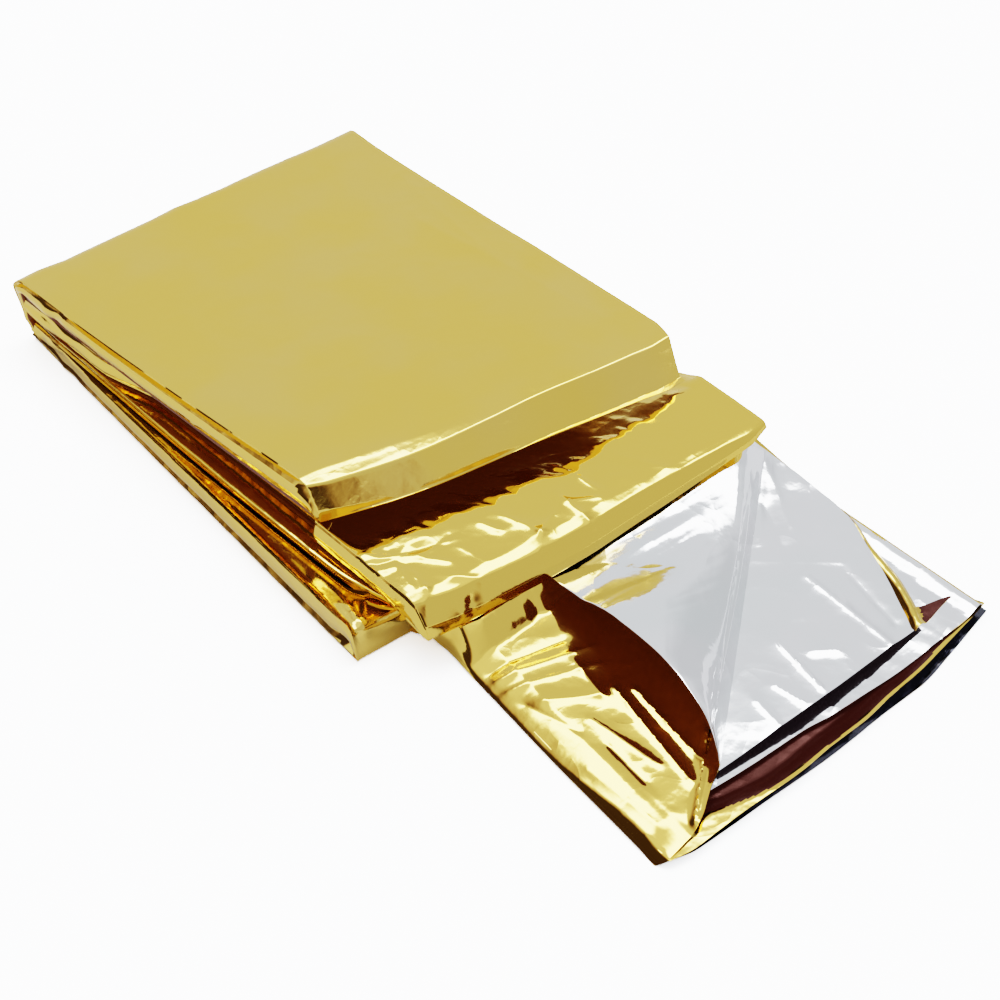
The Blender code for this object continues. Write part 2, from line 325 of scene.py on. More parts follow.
# materials
class Sock:
    # a node socket that can be added, multiplied and so on
    def __init__(self, tree, socket):
        self.tree = tree
        self.socket = socket

    @staticmethod
    def node(tree, kind, settings=None, sockets=None, output=0):
        # any node: its settings first, then the values or links of its sockets
        made = tree.nodes.new(kind)
        for key, value in (settings or {}).items():
            setattr(made, key, value)
        for key, value in (sockets or {}).items():
            place(tree, made.inputs[key], value)
        return Sock(tree, made.outputs[output]) if made.outputs else None

    def math(self, operation, other, flip=False):
        pair = (other, self) if flip else (self, other)
        return Sock.node(self.tree, "ShaderNodeMath", {"operation": operation}, dict(enumerate(pair)))

    def __add__(self, other):
        return self.math("ADD", other)

    def __radd__(self, other):
        return self.math("ADD", other, True)

    def __sub__(self, other):
        return self.math("SUBTRACT", other)

    def __rsub__(self, other):
        return self.math("SUBTRACT", other, True)

    def __mul__(self, other):
        return self.math("MULTIPLY", other)

    def __rmul__(self, other):
        return self.math("MULTIPLY", other, True)

    def step(self, start, end):
        # 0 at start, 1 at end, smoothly
        sockets = {"Value": self, "From Min": start, "From Max": end}
        return Sock.node(self.tree, "ShaderNodeMapRange", {"interpolation_type": "SMOOTHSTEP"}, sockets)

    def dot(self, direction):
        return Sock.node(self.tree, "ShaderNodeVectorMath", {"operation": "DOT_PRODUCT"},
                         {0: self, 1: direction}, "Value")

    def mix(self, a, b):
        # of two colours; self is the share of b
        return Sock.node(self.tree, "ShaderNodeMix", {"data_type": "RGBA"}, {"Factor": self, 6: a, 7: b}, 2)


def place(tree, target, value):
    if isinstance(value, Sock):
        tree.links.new(value.socket, target)
    else:
        target.default_value = value


# what all the film shares
filmGrain = {
    "roughness": 0.07,
    "haze": 0.05,  # how much rougher its hazy patches are
    "hazeSize": 45.0,
    "hazeFrom": (0.35, 0.75),
    "crinkleSize": 95.0,
    "crinkleDeep": 0.0010,
    "grain": 0.20,
    "grainSize": 350.0,
    "grainDeep": 0.0002,
}
gold = (0.86, 0.565, 0.13, 1.0)
# each film: its colour, the colour of its hazy patches, how strongly fine creases show, how metallic and
# how dull it is, and, on the painted shade films, a painted glow for light bounced in between the layers
filmLooks = {
    "gold_film": {"colour": gold, "patch": (0.83, 0.56, 0.155, 1.0), "crinkle": 0.07},
    "gold_film_creased": {"colour": gold, "crinkle": 0.08},
    "silver_film": {"colour": (0.965, 0.955, 0.97, 1.0), "patch": (0.90, 0.925, 0.93, 1.0), "crinkle": 0.09},
    # painted shade: a dark film on the lower leaf, for the cut edges at the open end and the shade along them
    "layer_edges_and_painted_shade": {"colour": (0.10, 0.10, 0.12, 1.0), "crinkle": 0.12},
    # painted shade: dark red-brown gold for the shade under tiers one and two and the turned corner
    "gold_film_painted_shade": {
        "colour": (0.17, 0.065, 0.05, 1.0), "crinkle": 0.02, "metallic": 0.25, "dull": 0.35,
        "paintedBounceGlow": (0.042, 0.015, 0.009, 1.0),
    },
    # painted shade: near-black film for the shade under the silver leaves
    "film_shade": {
        "colour": (0.026, 0.018, 0.022, 1.0), "crinkle": 0.02, "metallic": 0.25, "dull": 0.35,
        "paintedBounceGlow": (0.011, 0.007, 0.009, 1.0),
    },
    # painted shade: dark gold where it lies in their shade, and on the sliver's point
    "gold_film_shade": {
        "colour": (0.06, 0.016, 0.011, 1.0), "crinkle": 0.10, "metallic": 0.6, "dull": 0.15,
        "paintedBounceGlow": (0.018, 0.003, 0.002, 1.0),
    },
}


def filmMaterial(name, look):
    material = bpy.data.materials.new(name)
    material.use_nodes = True
    tree = material.node_tree
    shader = tree.nodes["Principled BSDF"].inputs
    shader["Base Color"].default_value = look["colour"]
    shader["Metallic"].default_value = look.get("metallic", 1.0)
    # a painted glow: a little light painted in for light bounced between the layers
    if "paintedBounceGlow" in look:
        shader["Emission Color"].default_value = look["paintedBounceGlow"]
        shader["Emission Strength"].default_value = 1.0
    spot = Sock.node(tree, "ShaderNodeTexCoord", output="Object")

    def noise(scale, settings=None, **more):
        sockets = {"Vector": spot, "Scale": scale, "Detail": 2.0, **more}
        return Sock.node(tree, "ShaderNodeTexNoise", settings, sockets)

    haze = noise(filmGrain["hazeSize"]).step(*filmGrain["hazeFrom"])
    roughness = filmGrain["roughness"] + look.get("dull", 0.0)
    place(tree, shader["Roughness"], roughness + haze * filmGrain["haze"])
    if "patch" in look:
        place(tree, shader["Base Color"], haze.mix(look["colour"], look["patch"]))
    ridges = noise(filmGrain["crinkleSize"], {"noise_type": "RIDGED_MULTIFRACTAL"}, Offset=0.9, Gain=1.2)
    fine = noise(filmGrain["grainSize"])
    folds = Sock.node(tree, "ShaderNodeBump", {},
                      {"Strength": look["crinkle"], "Distance": filmGrain["crinkleDeep"], "Height": ridges})
    bump = Sock.node(tree, "ShaderNodeBump", {},
                     {"Strength": filmGrain["grain"], "Distance": filmGrain["grainDeep"], "Height": fine,
                      "Normal": folds})
    place(tree, shader["Normal"], bump)
    return material


goldFilm, creasedGold, silverFilm, layerEdgesAndShade, paintedShadeGold, deepPaintedShade, lipPaintedShade = (
    filmMaterial(name, look) for name, look in filmLooks.items())
print("materials made")

# tier one: the top, its front fold and the wrap round the back
tierOne = {
    "backX": 3.0,
    "fineFrom": 90.0,
    # x of the front fold's lower lip and its height, for y across the strip
    "lip": ((0, 102.4), (0.05, 104.2), (0.18, 107.8), (0.3, 110.0), (0.45, 111.9), (0.61, 113.7),
            (0.75, 116.0), (0.87, 118.0), (0.95, 119.4), (1, 119.5)),
    "lipZ": ((0, 15.4), (0.1, 16.0), (1, 16.7)),
    "foldDeep": ((0, 6.2), (0.05, 7.6), (0.2, 8.6), (0.35, 7.6), (0.5, 6.6), (0.8, 6.8), (1, 7.6)),
    "bevelWide": ((0, 2.6), (0.05, 3.9), (0.2, 4.3), (0.35, 3.2), (0.5, 1.9), (0.8, 1.2), (1, 1.0)),
    "bevelSlope": ((0, 0.20), (0.2, 0.17), (0.32, 0.12), (0.45, 0.05), (1, 0.04)),
    "rounding": ((0, 0.8), (0.3, 1.2), (0.45, 0.9), (0.6, 0.7), (0.85, 0.8), (1, 1.2)),
    "steep": 1.9,
    # faint soft creases over its far half
    "creases": (
        (40, 84, 99, 90, 0.40, 5), (66, 93, 90, 68, 0.22, 3.5),
        (84, 88, 104, 64, 0.20, 3), (20, 93, 62, 87, 0.25, 4),
        (72, 62, 96, 52, 0.15, 3),
    ),
    # crumples, as height, cell, seed, stretch, degrees: on the top, on the front fold and round the back
    "topCrumple": ((0.05, 15, 11, 2.0, 60), (0.03, 6, 10, 2.5, 20)),
    "foldCrumple": ((0.12, 2.6, 12, 7.0, 77), (0.06, 5.0, 13, 1.5, 30)),
    "wrapCrumple": ((0.35, 7.0, 15, 1.6, 20),),
    "wrapFrom": 0.75,  # the share of the wrap's rows after which its crumple fades
    # the wrap starts under the blanket: (x, height, thickness)
    "wrapFoot": ((12.0, 0.05, 0.3), (6.0, 0.05, 0.6)),
    "wrapSteps": 12,  # rows round each of its two bends
    "wrapThick": (1.0, 2.4, 4.9),  # at the floor, half way up and at the top
    "lowRadius": 8.0,
    "highRadius": 5.2,
    # its long edges, from the top film down: (share, how far it bulges)
    "wall": ((0, 0.0), (0.04, 0.2), (0.10, -1.4), (0.26, -1.6), (0.36, 0.1), (0.55, 0.7), (0.8, 0.5),
             (0.92, -0.2), (1, -0.9)),
    # the same at the front fold's end, which is hollow, and from which x
    "pocket": ((0, 0.0), (0.05, 0.1), (0.10, -2.8), (0.40, -3.0), (0.5, -0.6), (0.62, 0.5), (0.85, 0.4),
               (1, -0.5)),
    "pocketFrom": 94.0,
}


def rise(u, start, width):
    # the integral of a slope that eases in from start over width
    t = np.clip((u - start) / width, 0, 1)
    return width * (t ** 3 - t ** 4 / 2) + np.maximum(u - start - width, 0)


# every front fold: the length over which its bevel begins, the length and shape of the roll at its lip,
# how many rows it has and how they crowd towards the lip, and how far behind it the layers close up
frontFold = {"bevelStart": 0.8, "roll": 0.5, "rollShape": 1.6, "rows": 1.9, "crowding": 1.3, "closeUp": 8}


def foldDrop(u, deep, total, bevelWide, bevelSlope, rounding, steep):
    # drop of a front fold u from where it starts: a shallow bevel, a rounding, a steep flat face, and
    # what is left of the way down in a tight roll at its lip
    down = bevelSlope * rise(u, 0, frontFold["bevelStart"]) + steep * rise(u, bevelWide, rounding)
    down = np.minimum(down, total)
    roll = frontFold["roll"]
    return down + (total - down) * np.clip((u - deep + roll) / roll, 0, 1) ** frontFold["rollShape"]


def slabSkins(name, look, across, fine, coarseStep):
    # outer and inner skin of a slab from its back to its front lip, and how far into the fold each row is
    backX, fineFrom = look["backX"], look["fineFrom"]
    lipX, lipZ, deepX, bevelWide, bevelSlope, rounding = (
        curveOf(look[k])(across) for k in ("lip", "lipZ", "foldDeep", "bevelWide", "bevelSlope", "rounding"))
    plain = np.linspace(0, 1, max(2, int((fineFrom - backX) / coarseStep)), endpoint=False)
    bend = 1 - np.linspace(1, 0, int(frontFold["rows"] * np.mean(deepX) / fine)) ** frontFold["crowding"]
    middle = np.linspace(0, 1, max(2, int((np.mean(lipX - deepX) - fineFrom) / fine)), endpoint=False)
    startX = lipX - deepX
    rows = [lerp(backX, fineFrom, t) + 0 * lipX for t in plain]
    rows += [lerp(fineFrom, startX, t) for t in middle]
    rows += [lerp(startX, lipX, t) for t in bend]
    x = np.array(rows)
    v = across[None, :].repeat(len(x), 0)
    top = slabZ(name, "top", x, v)
    bottom = slabZ(name, "bottom", x, v)
    total = slabZ(name, "top", startX, across) - lipZ
    u = np.clip(x - startX, 0, deepX)
    top = top - foldDrop(u, deepX, total, bevelWide, bevelSlope, rounding, look["steep"])
    share = u / deepX
    closeUp = frontFold["closeUp"]
    bottom = np.minimum(lerp(bottom, lipZ[None, :], ease((x - startX + closeUp) / (deepX + closeUp))), top)
    y = slabY(name, x, v)
    return np.stack([x, y, top], -1), np.stack([x, y, bottom], -1), share


# the crinkles of every long edge: their size and how much wider they are than tall, how deep they are at
# the closed back and at the front, and how strong the bulges are at the back
edgeCrumple = {"cell": 4.6, "squeeze": 2.0, "deep": (0.7, 0.08), "backBulge": 0.55, "pocketOver": 7}


def wallOf(shape, seed, pocket=None, pocketFrom=0.0):
    # a long edge's bulges: deep crinkles at the closed back, and a hollow at the front fold's end
    def push(x, z, fromTop):
        out = bent(shape, fromTop)
        if pocket:
            out = lerp(out, bent(pocket, fromTop), ramp(x, pocketFrom, edgeCrumple["pocketOver"]))
        rough = lerp(*edgeCrumple["deep"], ramp(x, 2, 26))
        crinkle = facets(x, z * edgeCrumple["squeeze"], edgeCrumple["cell"], seed)
        return out * lerp(edgeCrumple["backBulge"], 1.0, ramp(x, 6, 22)) + rough * crinkle
    return push


def wrapPath():
    # the wrap's section from under the blanket up to the top: x, height, thickness
    foot, middle, head = tierOne["wrapThick"]
    lowR, highR, steps = tierOne["lowRadius"], tierOne["highRadius"], tierOne["wrapSteps"]
    backX = strip["backReach"] + 0.1
    floorZ = tierOne["wrapFoot"][0][1]
    topZ = slabZ("one", "top", np.array(0.0), 0.5)
    path = list(tierOne["wrapFoot"])
    for i in range(steps + 1):
        angle = math.radians(270 - 90 * i / steps)
        path.append((backX + lowR + lowR * math.cos(angle), floorZ + lowR + lowR * math.sin(angle),
                     lerp(foot, middle, i / steps)))
    for i in range(1, steps + 1):
        angle = math.radians(180 - 90 * i / steps)
        path.append((backX + highR + highR * math.cos(angle), topZ - highR + highR * math.sin(angle),
                     lerp(middle, head, i / steps)))
    return np.array(path), topZ


def tierOneSkins():
    across = spacing((0, 0.04, 0.004), (0.04, 0.96, 0.0055), (0.96, 1, 0.004))
    outer, inner, _ = slabSkins("one", tierOne, across, 0.4, 1.3)
    path, topZ = wrapPath()
    step = np.gradient(path[:, :2], axis=0)
    step /= np.linalg.norm(step, axis=1, keepdims=True)
    inward = np.stack([step[:, 1], -step[:, 0]], -1)
    inside = path[:, :2] + inward * path[:, 2:3]
    wrapOuter = np.zeros((len(path), len(across), 3))
    wrapInner = wrapOuter.copy()
    share = np.clip(path[:, 1:2] / topZ, 0, 1)
    for target, line in ((wrapOuter, path), (wrapInner, inside)):
        x = line[:, :1]
        near = lerp(slabY("four", x, 0.0), slabY("one", x, 0.0), share)
        far = lerp(slabY("four", x, 1.0), slabY("one", x, 1.0), share)
        target[..., 0] = x
        target[..., 1] = lerp(near, far, across[None, :])
        target[..., 2] = line[:, 1:2]
    joined = np.concatenate([wrapOuter, outer]), np.concatenate([wrapInner, inner])
    return (*joined, len(path))


def makeTierOne():
    outer, inner, wrapRows = tierOneSkins()
    outer[..., 2] += uneven(outer[..., 0], outer[..., 1], outer[..., 2])
    inner[..., 2] += uneven(inner[..., 0], inner[..., 1], inner[..., 2])
    normal = normalsOf(outer)
    x, y, z = outer[..., 0], outer[..., 1], outer[..., 2]
    front = ramp(x, 94, 9)
    rough = crumple(x, y, tierOne["topCrumple"]) * (1 - front)
    rough += front * lerp(1.0, 0.6, ramp(y, 35, 20)) * crumple(x, y, tierOne["foldCrumple"])
    rough += creases(x, y, tierOne["creases"])
    rowNumber = np.arange(len(outer))[:, None] + 0 * x
    fadeFrom = wrapRows * tierOne["wrapFrom"]
    onWrap = 1 - ramp(rowNumber, fadeFrom, wrapRows - fadeFrom)
    rough += onWrap * crumple(y, z + x * 0.3, tierOne["wrapCrumple"])
    outer += normal * rough[..., None]
    wall = wallOf(tierOne["wall"], 5, tierOne["pocket"], tierOne["pocketFrom"])
    # its whole inner skin is painted in shade with the dark gold film
    return bundle("tier_one", outer, inner, wall, goldFilm, within=1.0)


tierOnePiece = makeTierOne()
print("tier one made", len(tierOnePiece.data.polygons))

# tier two
tierTwo = {
    "backX": -5.6,
    "fineFrom": 97.0,
    # where the film rises out of the shade under tier one: (y, x)
    "crest": ((6, 116), (14, 117), (22, 117.5), (30, 119.5), (40, 121.5), (50, 122.5), (60, 124.5), (67, 124),
              (80, 122.5), (88, 122), (98, 120.5)),
    "shadeDeep": 9.0,
    "shadeSlope": 0.46,
    "lip": ((0, 136.6), (0.1, 138.5), (0.18, 139.5), (0.3, 140.7), (0.45, 141.4), (0.6, 141.2),
            (0.75, 141.2), (0.93, 141.3), (1, 140.0)),
    "lipZ": ((0, 7.8), (0.1, 8.9), (0.18, 9.5), (0.3, 10.0), (0.45, 10.4), (0.6, 10.8), (0.75, 11.6),
             (0.93, 13.2), (1, 14.2)),
    "foldDeep": ((0, 6.6), (0.3, 6.2), (0.6, 5.2), (0.8, 4.4), (1, 2.8)),
    "bevelWide": ((0, 2.4), (0.3, 2.4), (0.6, 1.8), (1, 1.2)),
    "bevelSlope": ((0, 0.26), (0.3, 0.22), (0.6, 0.16), (0.8, 0.12), (1, 0.10)),
    "rounding": ((0, 1.0), (0.5, 1.4), (1, 1.6)),
    "steep": 1.2,
    "wall": ((0, 0.0), (0.04, 0.1), (0.12, -0.5), (0.18, 0.1), (0.58, 0.9), (0.72, 0.7), (0.78, 0.0),
             (0.92, 0.3), (1, -0.8)),
    # x1, y1, x2, y2, height, width: the main creases between the crest and the front fold
    "creases": (
        (126.5, 38.5, 134.5, 41, 0.55, 1.7), (134.5, 41, 132.5, 46.5, 0.5, 1.4),
        (134.5, 41, 137.5, 38, 0.4, 1.3), (130, 51, 138.5, 51, 0.6, 1.5),
        (131.5, 51.5, 134.5, 57, 0.4, 1), (124.5, 33.5, 128.5, 35, 0.35, 0.8),
        (124.5, 18, 128.5, 21.5, 0.4, 0.9), (123.5, 12.5, 129, 11.5, 0.5, 1),
        (126.5, 14, 131.5, 13.5, 0.4, 0.9), (131.5, 13.5, 134.5, 11, 0.4, 1),
        (132.5, 20, 136, 24, 0.4, 1.1), (125.5, 58, 132, 58.5, 0.4, 1),
        (127, 26, 133, 27.5, 0.22, 1.2), (129, 70, 136, 74, 0.18, 1.8),
        (126, 84, 134, 82, 0.12, 2),
    ),
    # crumples: of the crest's line, past it, in the shade behind it, in a rough patch near it and on the fold
    "jagCrumple": ((1.1, 3.2, 27), (0.5, 1.4, 28)),
    "pastCrumple": ((0.12, 6.0, 21, 2.0, 75), (0.05, 2.4, 22, 2.0, 40)),
    "shadeCrumple": ((0.10, 4.0, 23, 3.0, 5), (0.05, 1.8, 24, 3.0, 10)),
    "blotchCrumple": ((0.42, 2.6, 25, 1.3, 30),),
    "foldCrumple": ((0.10, 2.2, 26, 5.0, 86),),
    # a dent and a bump side by side in its front fold: y, height, width
    "frontDents": ((20.5, -1.0, 1.6), (17.5, 0.5, 1.3)),
}


def makeTierTwo():
    across = spacing((0, 1, 0.0045))
    outer, inner, share = slabSkins("two", tierTwo, across, 0.4, 4.0)
    x, y = outer[..., 0], outer[..., 1]
    # it dips under tier one's lip, and rises to a jagged crest in front of it
    behind = along(tierTwo["crest"], y) - x
    behind = behind + crumple(y, 0 * y, tierTwo["jagCrumple"]) * np.exp(-(behind / 3.0) ** 2)
    deep = tierTwo["shadeDeep"]
    dip = -deep * np.tanh(tierTwo["shadeSlope"] * rise(behind, -0.8, 2.4) / deep)
    fromEdge = ramp(y, slabY("two", x, 0.0), 3.0)
    outer[..., 2] += dip * (1 - share) * ramp(x, 60, 30) * fromEdge + uneven(x, y, outer[..., 2])
    inner[..., 2] += uneven(inner[..., 0], inner[..., 1], inner[..., 2])
    inner[..., 2] = np.minimum(inner[..., 2], outer[..., 2] - 0.02)
    normal = normalsOf(outer)
    past = ease(-behind / 3)
    rough = past * (1 - 0.55 * ramp(y, 60, 12)) * crumple(x, y, tierTwo["pastCrumple"])
    rough += (1 - past) * ramp(x, 100, 6) * crumple(x, y, tierTwo["shadeCrumple"])
    rough += creases(x, y, tierTwo["creases"]) * past
    blotch = ramp(behind, -8, 2) * ease((1.0 - behind) / 2) * (1 - ramp(y, 20, 12))
    rough += blotch * (crumple(x, y, tierTwo["blotchCrumple"]) + 0.35 * ramp(behind, -6, 4))
    rough += share * (1 - share) * 4 * crumple(x, y, tierTwo["foldCrumple"])
    for middle, height, wide in tierTwo["frontDents"]:
        rough += height * np.exp(-((y - middle) / wide) ** 2) * ramp(x, 136, 2)
    outer += normal * (rough * np.clip(1.3 - share, 0.3, 1))[..., None]
    wall = wallOf(tierTwo["wall"], 6)
    # the near share of its inner skin is painted in shade, apart from the rows at its lip
    return bundle("tier_two", outer, inner, wall, creasedGold, within=0.42, bright=30)


tierTwoPiece = makeTierTwo()
print("tier two made", len(tierTwoPiece.data.polygons))

# tier four, the lowest
tierFour = {
    "backX": -5.6,
    "fineFrom": 20.0,
    "lip": ((0, 126.2), (0.05, 126.6), (0.12, 127.0), (1, 133.0)),
    "lipZ": 0.3,
    "foldDeep": 3.0,
    "bevelWide": 0.8,
    "bevelSlope": 0.06,
    "rounding": 0.8,
    "steep": 3.0,
    "wall": ((0, -0.4), (0.09, 0.2), (0.42, 0.5), (0.58, 0.4), (0.66, -1.0), (0.74, -1.1), (0.82, 0.5),
             (1, 0.2)),
    "pocket": ((0, -0.3), (0.18, 0.4), (0.42, 0.3), (0.5, -1.4), (0.84, -1.8), (0.92, 0.0), (1, 0.1)),
    "pocketFrom": 118.0,
    # the curled corner of its top film, and the lift of that film's near edge
    "creases": ((118.5, 3, 124, 2, 0.9, 1.6), (119.5, 7, 123.5, 3.5, 0.6, 1.5)),
    "edgeLift": 0.5,
    "edgeWide": 0.8,
    "crumple": ((0.03, 3.0, 31, 8.0, 3),),
}


def makeTierFour():
    across = spacing((0, 0.12, 0.005), (0.12, 1, 0.03))
    outer, inner, share = slabSkins("four", tierFour, across, 0.6, 2.0)
    x, y = outer[..., 0], outer[..., 1]
    rough = crumple(x, y, tierFour["crumple"]) + creases(x, y, tierFour["creases"])
    rough += tierFour["edgeLift"] * np.exp(-y / tierFour["edgeWide"])
    outer += normalsOf(outer) * (rough * (1 - 0.7 * share))[..., None]
    wall = wallOf(tierFour["wall"], 8, tierFour["pocket"], tierFour["pocketFrom"])
    return bundle("tier_four", outer, inner, wall, goldFilm, coarse=2)


tierFourPiece = makeTierFour()
print("tier four made", len(tierFourPiece.data.polygons))

# tier three: the strip that runs out to the open end
openEnd = {
    # how much of the way down to the floor the strip has come: (x, share), and the same near the turned
    # corner
    "fall": ((122, 0.0), (130, 0.26), (138, 0.60), (146, 0.86), (154, 0.96), (168, 0.99), (186, 1.0),
             (206, 1.0)),
    "fallNear": ((122, 0.0), (128, 0.25), (136, 0.72), (141, 0.88), (147, 0.97), (156, 1.0), (168, 1.0)),
    "floorTop": 3.4,  # height of its top film there
    "near": ((0, 0), (110, 6), (126, 10.5), (131, 13.5), (136, 15), (144, 14.5), (154, 14), (173, 13),
             (190, 12.5), (204, 12)),
    "wall": ((0, 0.3), (0.18, 0.3), (0.32, -1.0), (0.66, -1.4), (1, -1.4)),
    "flankWide": 6.6,  # its near edge is rounded down to the floor over this width
    "floorGap": 0.3,
    "lowerBy": 0.7,  # how far its own top lies under the height that flankTop gives
    "hiddenTop": 1.3,  # and how high it is where the leaves lie over it
}


def openTop(x, y):
    # height of the top film of the strip past the folds
    top = slabZ("three", "top", x, shareAcross("three", x, y))
    fallen = lerp(along(openEnd["fallNear"], x), along(openEnd["fall"], x), ramp(y, 40, 20))
    return lerp(top, openEnd["floorTop"], fallen)


def flankTop(x, y):
    # the same, rounded down to the floor along the near edge
    inward = np.maximum(y - along(openEnd["near"], x), 0)
    top = openTop(x, y)
    gap = openEnd["floorGap"]
    slope = lerp(2.9, 1.2, ramp(x, 168, 30))
    footWide = lerp(0.6, 2.6, ramp(x, 172, 24))
    foot = gap + (top - slope - gap) * np.sin(np.clip(inward / footWide, 0, 1) * math.pi / 2)
    side = foot + slope * (1 - (1 - np.clip(inward / openEnd["flankWide"], 0, 1)) ** 1.25)
    return lerp(top, side, ramp(x, 126, 9))


def makeTierThree():
    across = spacing((0, 0.3, 0.006), (0.3, 1, 0.02))
    x = spacing((-5.6, 100, 4.0), (100, 186, 0.8))[:, None] + 0 * across[None, :]
    v = across[None, :] + 0 * x
    nearOut = along(openEnd["near"], x)
    y = lerp(nearOut, slabY("three", x, 1.0) + 0.2 * ramp(x, 130, 10), v)
    past = ramp(x, 112, 20)
    bottom = lerp(slabZ("three", "bottom", x, v), 0.1, ramp(x, 118, 24))
    bottom = lerp(bottom, 0.1, past * ease((12 - (y - nearOut)) / 12))
    top = flankTop(x, y) - openEnd["lowerBy"] * ramp(x, 116, 6)
    top = lerp(top, openEnd["hiddenTop"], ramp(x, 148, 16))
    top = np.maximum(top, bottom + 0.1)
    y = y + 1.2 * past * (1 - v)
    outer, inner = np.stack([x, y, top], -1), np.stack([x, y, bottom], -1)
    return bundle("tier_three", outer, inner, wallOf(openEnd["wall"], 9), goldFilm, coarse=3)


tierThreePiece = makeTierThree()
print("tier three made", len(tierThreePiece.data.polygons))


# the leaves at the open end
def plainLeaf(name, outline, height, films, stepX=0.8, stepY=0.8, third=None):
    # a leaf of film; its outline is its near and far edge (y for x), and its back and front (x for y)
    yNear, yFar, back, front = (curveOf(side) for side in outline)
    endX = 190.0  # its columns are spread by its width here
    s = np.linspace(0, 1, int((yFar(endX) - yNear(endX)) / stepY) + 2)[None, :]
    level = lerp(yNear(endX), yFar(endX), s)
    start, end = back(level), front(level)
    for _ in range(4):
        start = back(lerp(yNear(start), yFar(start), s))
    t = np.linspace(0, 1, int(np.max(end - start) / stepX) + 2)[:, None]
    x = lerp(start, end, t)
    y = lerp(yNear(x), yFar(x), s) + 0 * x
    return leaf(name, np.stack([x, y, height(x, y)], -1), films, 0, third(x, y) if third else None)


def rightEdge(x):
    return slabY("three", np.asarray(x, float), 1.0)


# the turned corner, and the crease that it is turned over at
crease = {
    "far": (139.5, 103.0),
    "near": (194.0, 35.5),
    "tuckedAt": (132.0, 39.5),  # where the turned corner's free edge goes on under tier two
    "roll": 1.3,  # height of the soft roll along the crease
    "rollWide": 5.0,
    # height of the free edge, by how far along the strip it is
    "edge": ((131, 7.8), (138.5, 8.8), (144, 9.8), (149.5, 11.3), (158.5, 14.9), (166, 16.5), (174, 17.3),
             (179.5, 16.8), (184.5, 14.9), (189, 12.2), (191.5, 9.4), (193, 6.4), (194, 3.2)),
    # thin folds beside the crease
    "creases": (
        (142.5, 96, 182, 45.5, -0.30, 0.45), (148, 90.5, 186, 42, 0.26, 0.5),
        (150, 86, 190, 36.5, -0.22, 0.4),
    ),
    "underLip": 0.6,  # how far under tier two's lip it comes out
    "highest": 11.8,  # and how high at most
    "lipCrumple": ((0.20, 3.4, 52, 7.0, 84), (0.07, 1.5, 53, 9.0, 88)),
    "crumple": ((0.12, 9.0, 51, 2.0, -50), (0.05, 3.5, 54, 5.0, -50)),
    "turned": 12,  # columns of its underside that are still silver, round the crease
}
silverTopLook = {
    # height of its front edge: (y, z)
    "front": ((33, 3.2), (44, 4.0), (56, 4.7), (67, 4.9), (79, 4.7), (89, 4.0), (100, 3.8)),
    "frontX": ((33, 194.5), (44, 195), (67, 195.5), (92, 195), (110, 195)),
    "right": ((130, 102), (150, 104.5), (158, 104.5), (164.5, 103.5), (173.5, 100.5), (183, 98), (190, 95),
              (194.5, 92.5)),
    "near": 34.7,
    "hiddenBack": 118.0,  # in its far part it goes on under the tiers to this x
    "creases": (
        (170.5, 83.5, 194.5, 83, 0.5, 1.1), (180, 65.5, 193.5, 63.5, 0.45, 0.9),
        (186, 69, 189, 73, 0.45, 1), (187.5, 57, 193.5, 58, 0.4, 0.8),
        (188, 51.5, 195, 50.5, 0.35, 0.8), (176, 91, 192, 88, -0.3, 1),
        (141, 101, 158, 92, 0.3, 1.2), (143, 98.5, 156, 84, 0.25, 1.2),
        (150, 92, 166, 84, -0.25, 1.4), (160, 78, 172, 92, 0.2, 1.6),
    ),
    "crumple": ((0.12, 8.0, 61, 2.6, 35), (0.05, 3.0, 62, 3.4, 40)),
}


def creaseX(y):
    (x1, y1), (x2, y2) = crease["far"], crease["near"]
    return x1 + (y1 - y) * (x2 - x1) / (y1 - y2)


def silverBase(x, y):
    front = along(silverTopLook["front"], y)
    return lerp(openTop(x, y) + 0.3, front, ramp(x, 146, 48))


def turnedCorner():
    t = spacing((0, 0.12, 0.004), (0.12, 1, 0.006))[:, None]
    s = spacing((0, 0.1, 0.01), (0.1, 1, 0.009))[None, :]
    near, far, tucked = (np.array(crease[k]) for k in ("near", "far", "tuckedAt"))
    fold = near + t[..., None] * (far - near)
    free = near + t[..., None] * (tucked - near)
    plan = fold + (free - fold) * s[..., None]
    x, y = plan[..., 0], plan[..., 1]
    wide = np.linalg.norm(free - fold, axis=-1)
    start = silverBase(fold[..., 0], fold[..., 1]) + 0.3
    end = along(crease["edge"], free[..., 0])
    roll = crease["roll"] * ease(t * 8)
    part = np.clip(wide * s / crease["rollWide"], 0, 1)
    z = lerp(start, end, 1 - (1 - s) ** 1.6)
    z = z + roll * np.sin(part * math.pi / 2) * (1 - 0.6 * ease(wide * s / 14))
    # beside tier two it rises to just under that tier's lip
    lipZ = along(tierTwo["lipZ"], shareAcross("two", x, y))
    high = np.minimum(lipZ - crease["underLip"], crease["highest"])
    z = np.maximum(z, lerp(z, high, (1 - ramp(x, 136, 30)) * ease((1 - s) * 5) * ease(s * 8)))
    z = z + creases(x, y, crease["creases"]) * ease(s * 14)
    z = z + ease((172 - x) / 16) * ease(s * 5) * crumple(x, y, crease["lipCrumple"])
    z = z + crumple(x, y, crease["crumple"]) * ease(s * 4)
    return np.concatenate([plan, z[..., None]], axis=-1)


# its underside past the silver columns is painted in shade with the dark gold film
cornerPiece = leaf("turned_corner", turnedCorner(), (silverFilm, paintedShadeGold), crease["turned"])
print("turned corner made", len(cornerPiece.data.polygons))


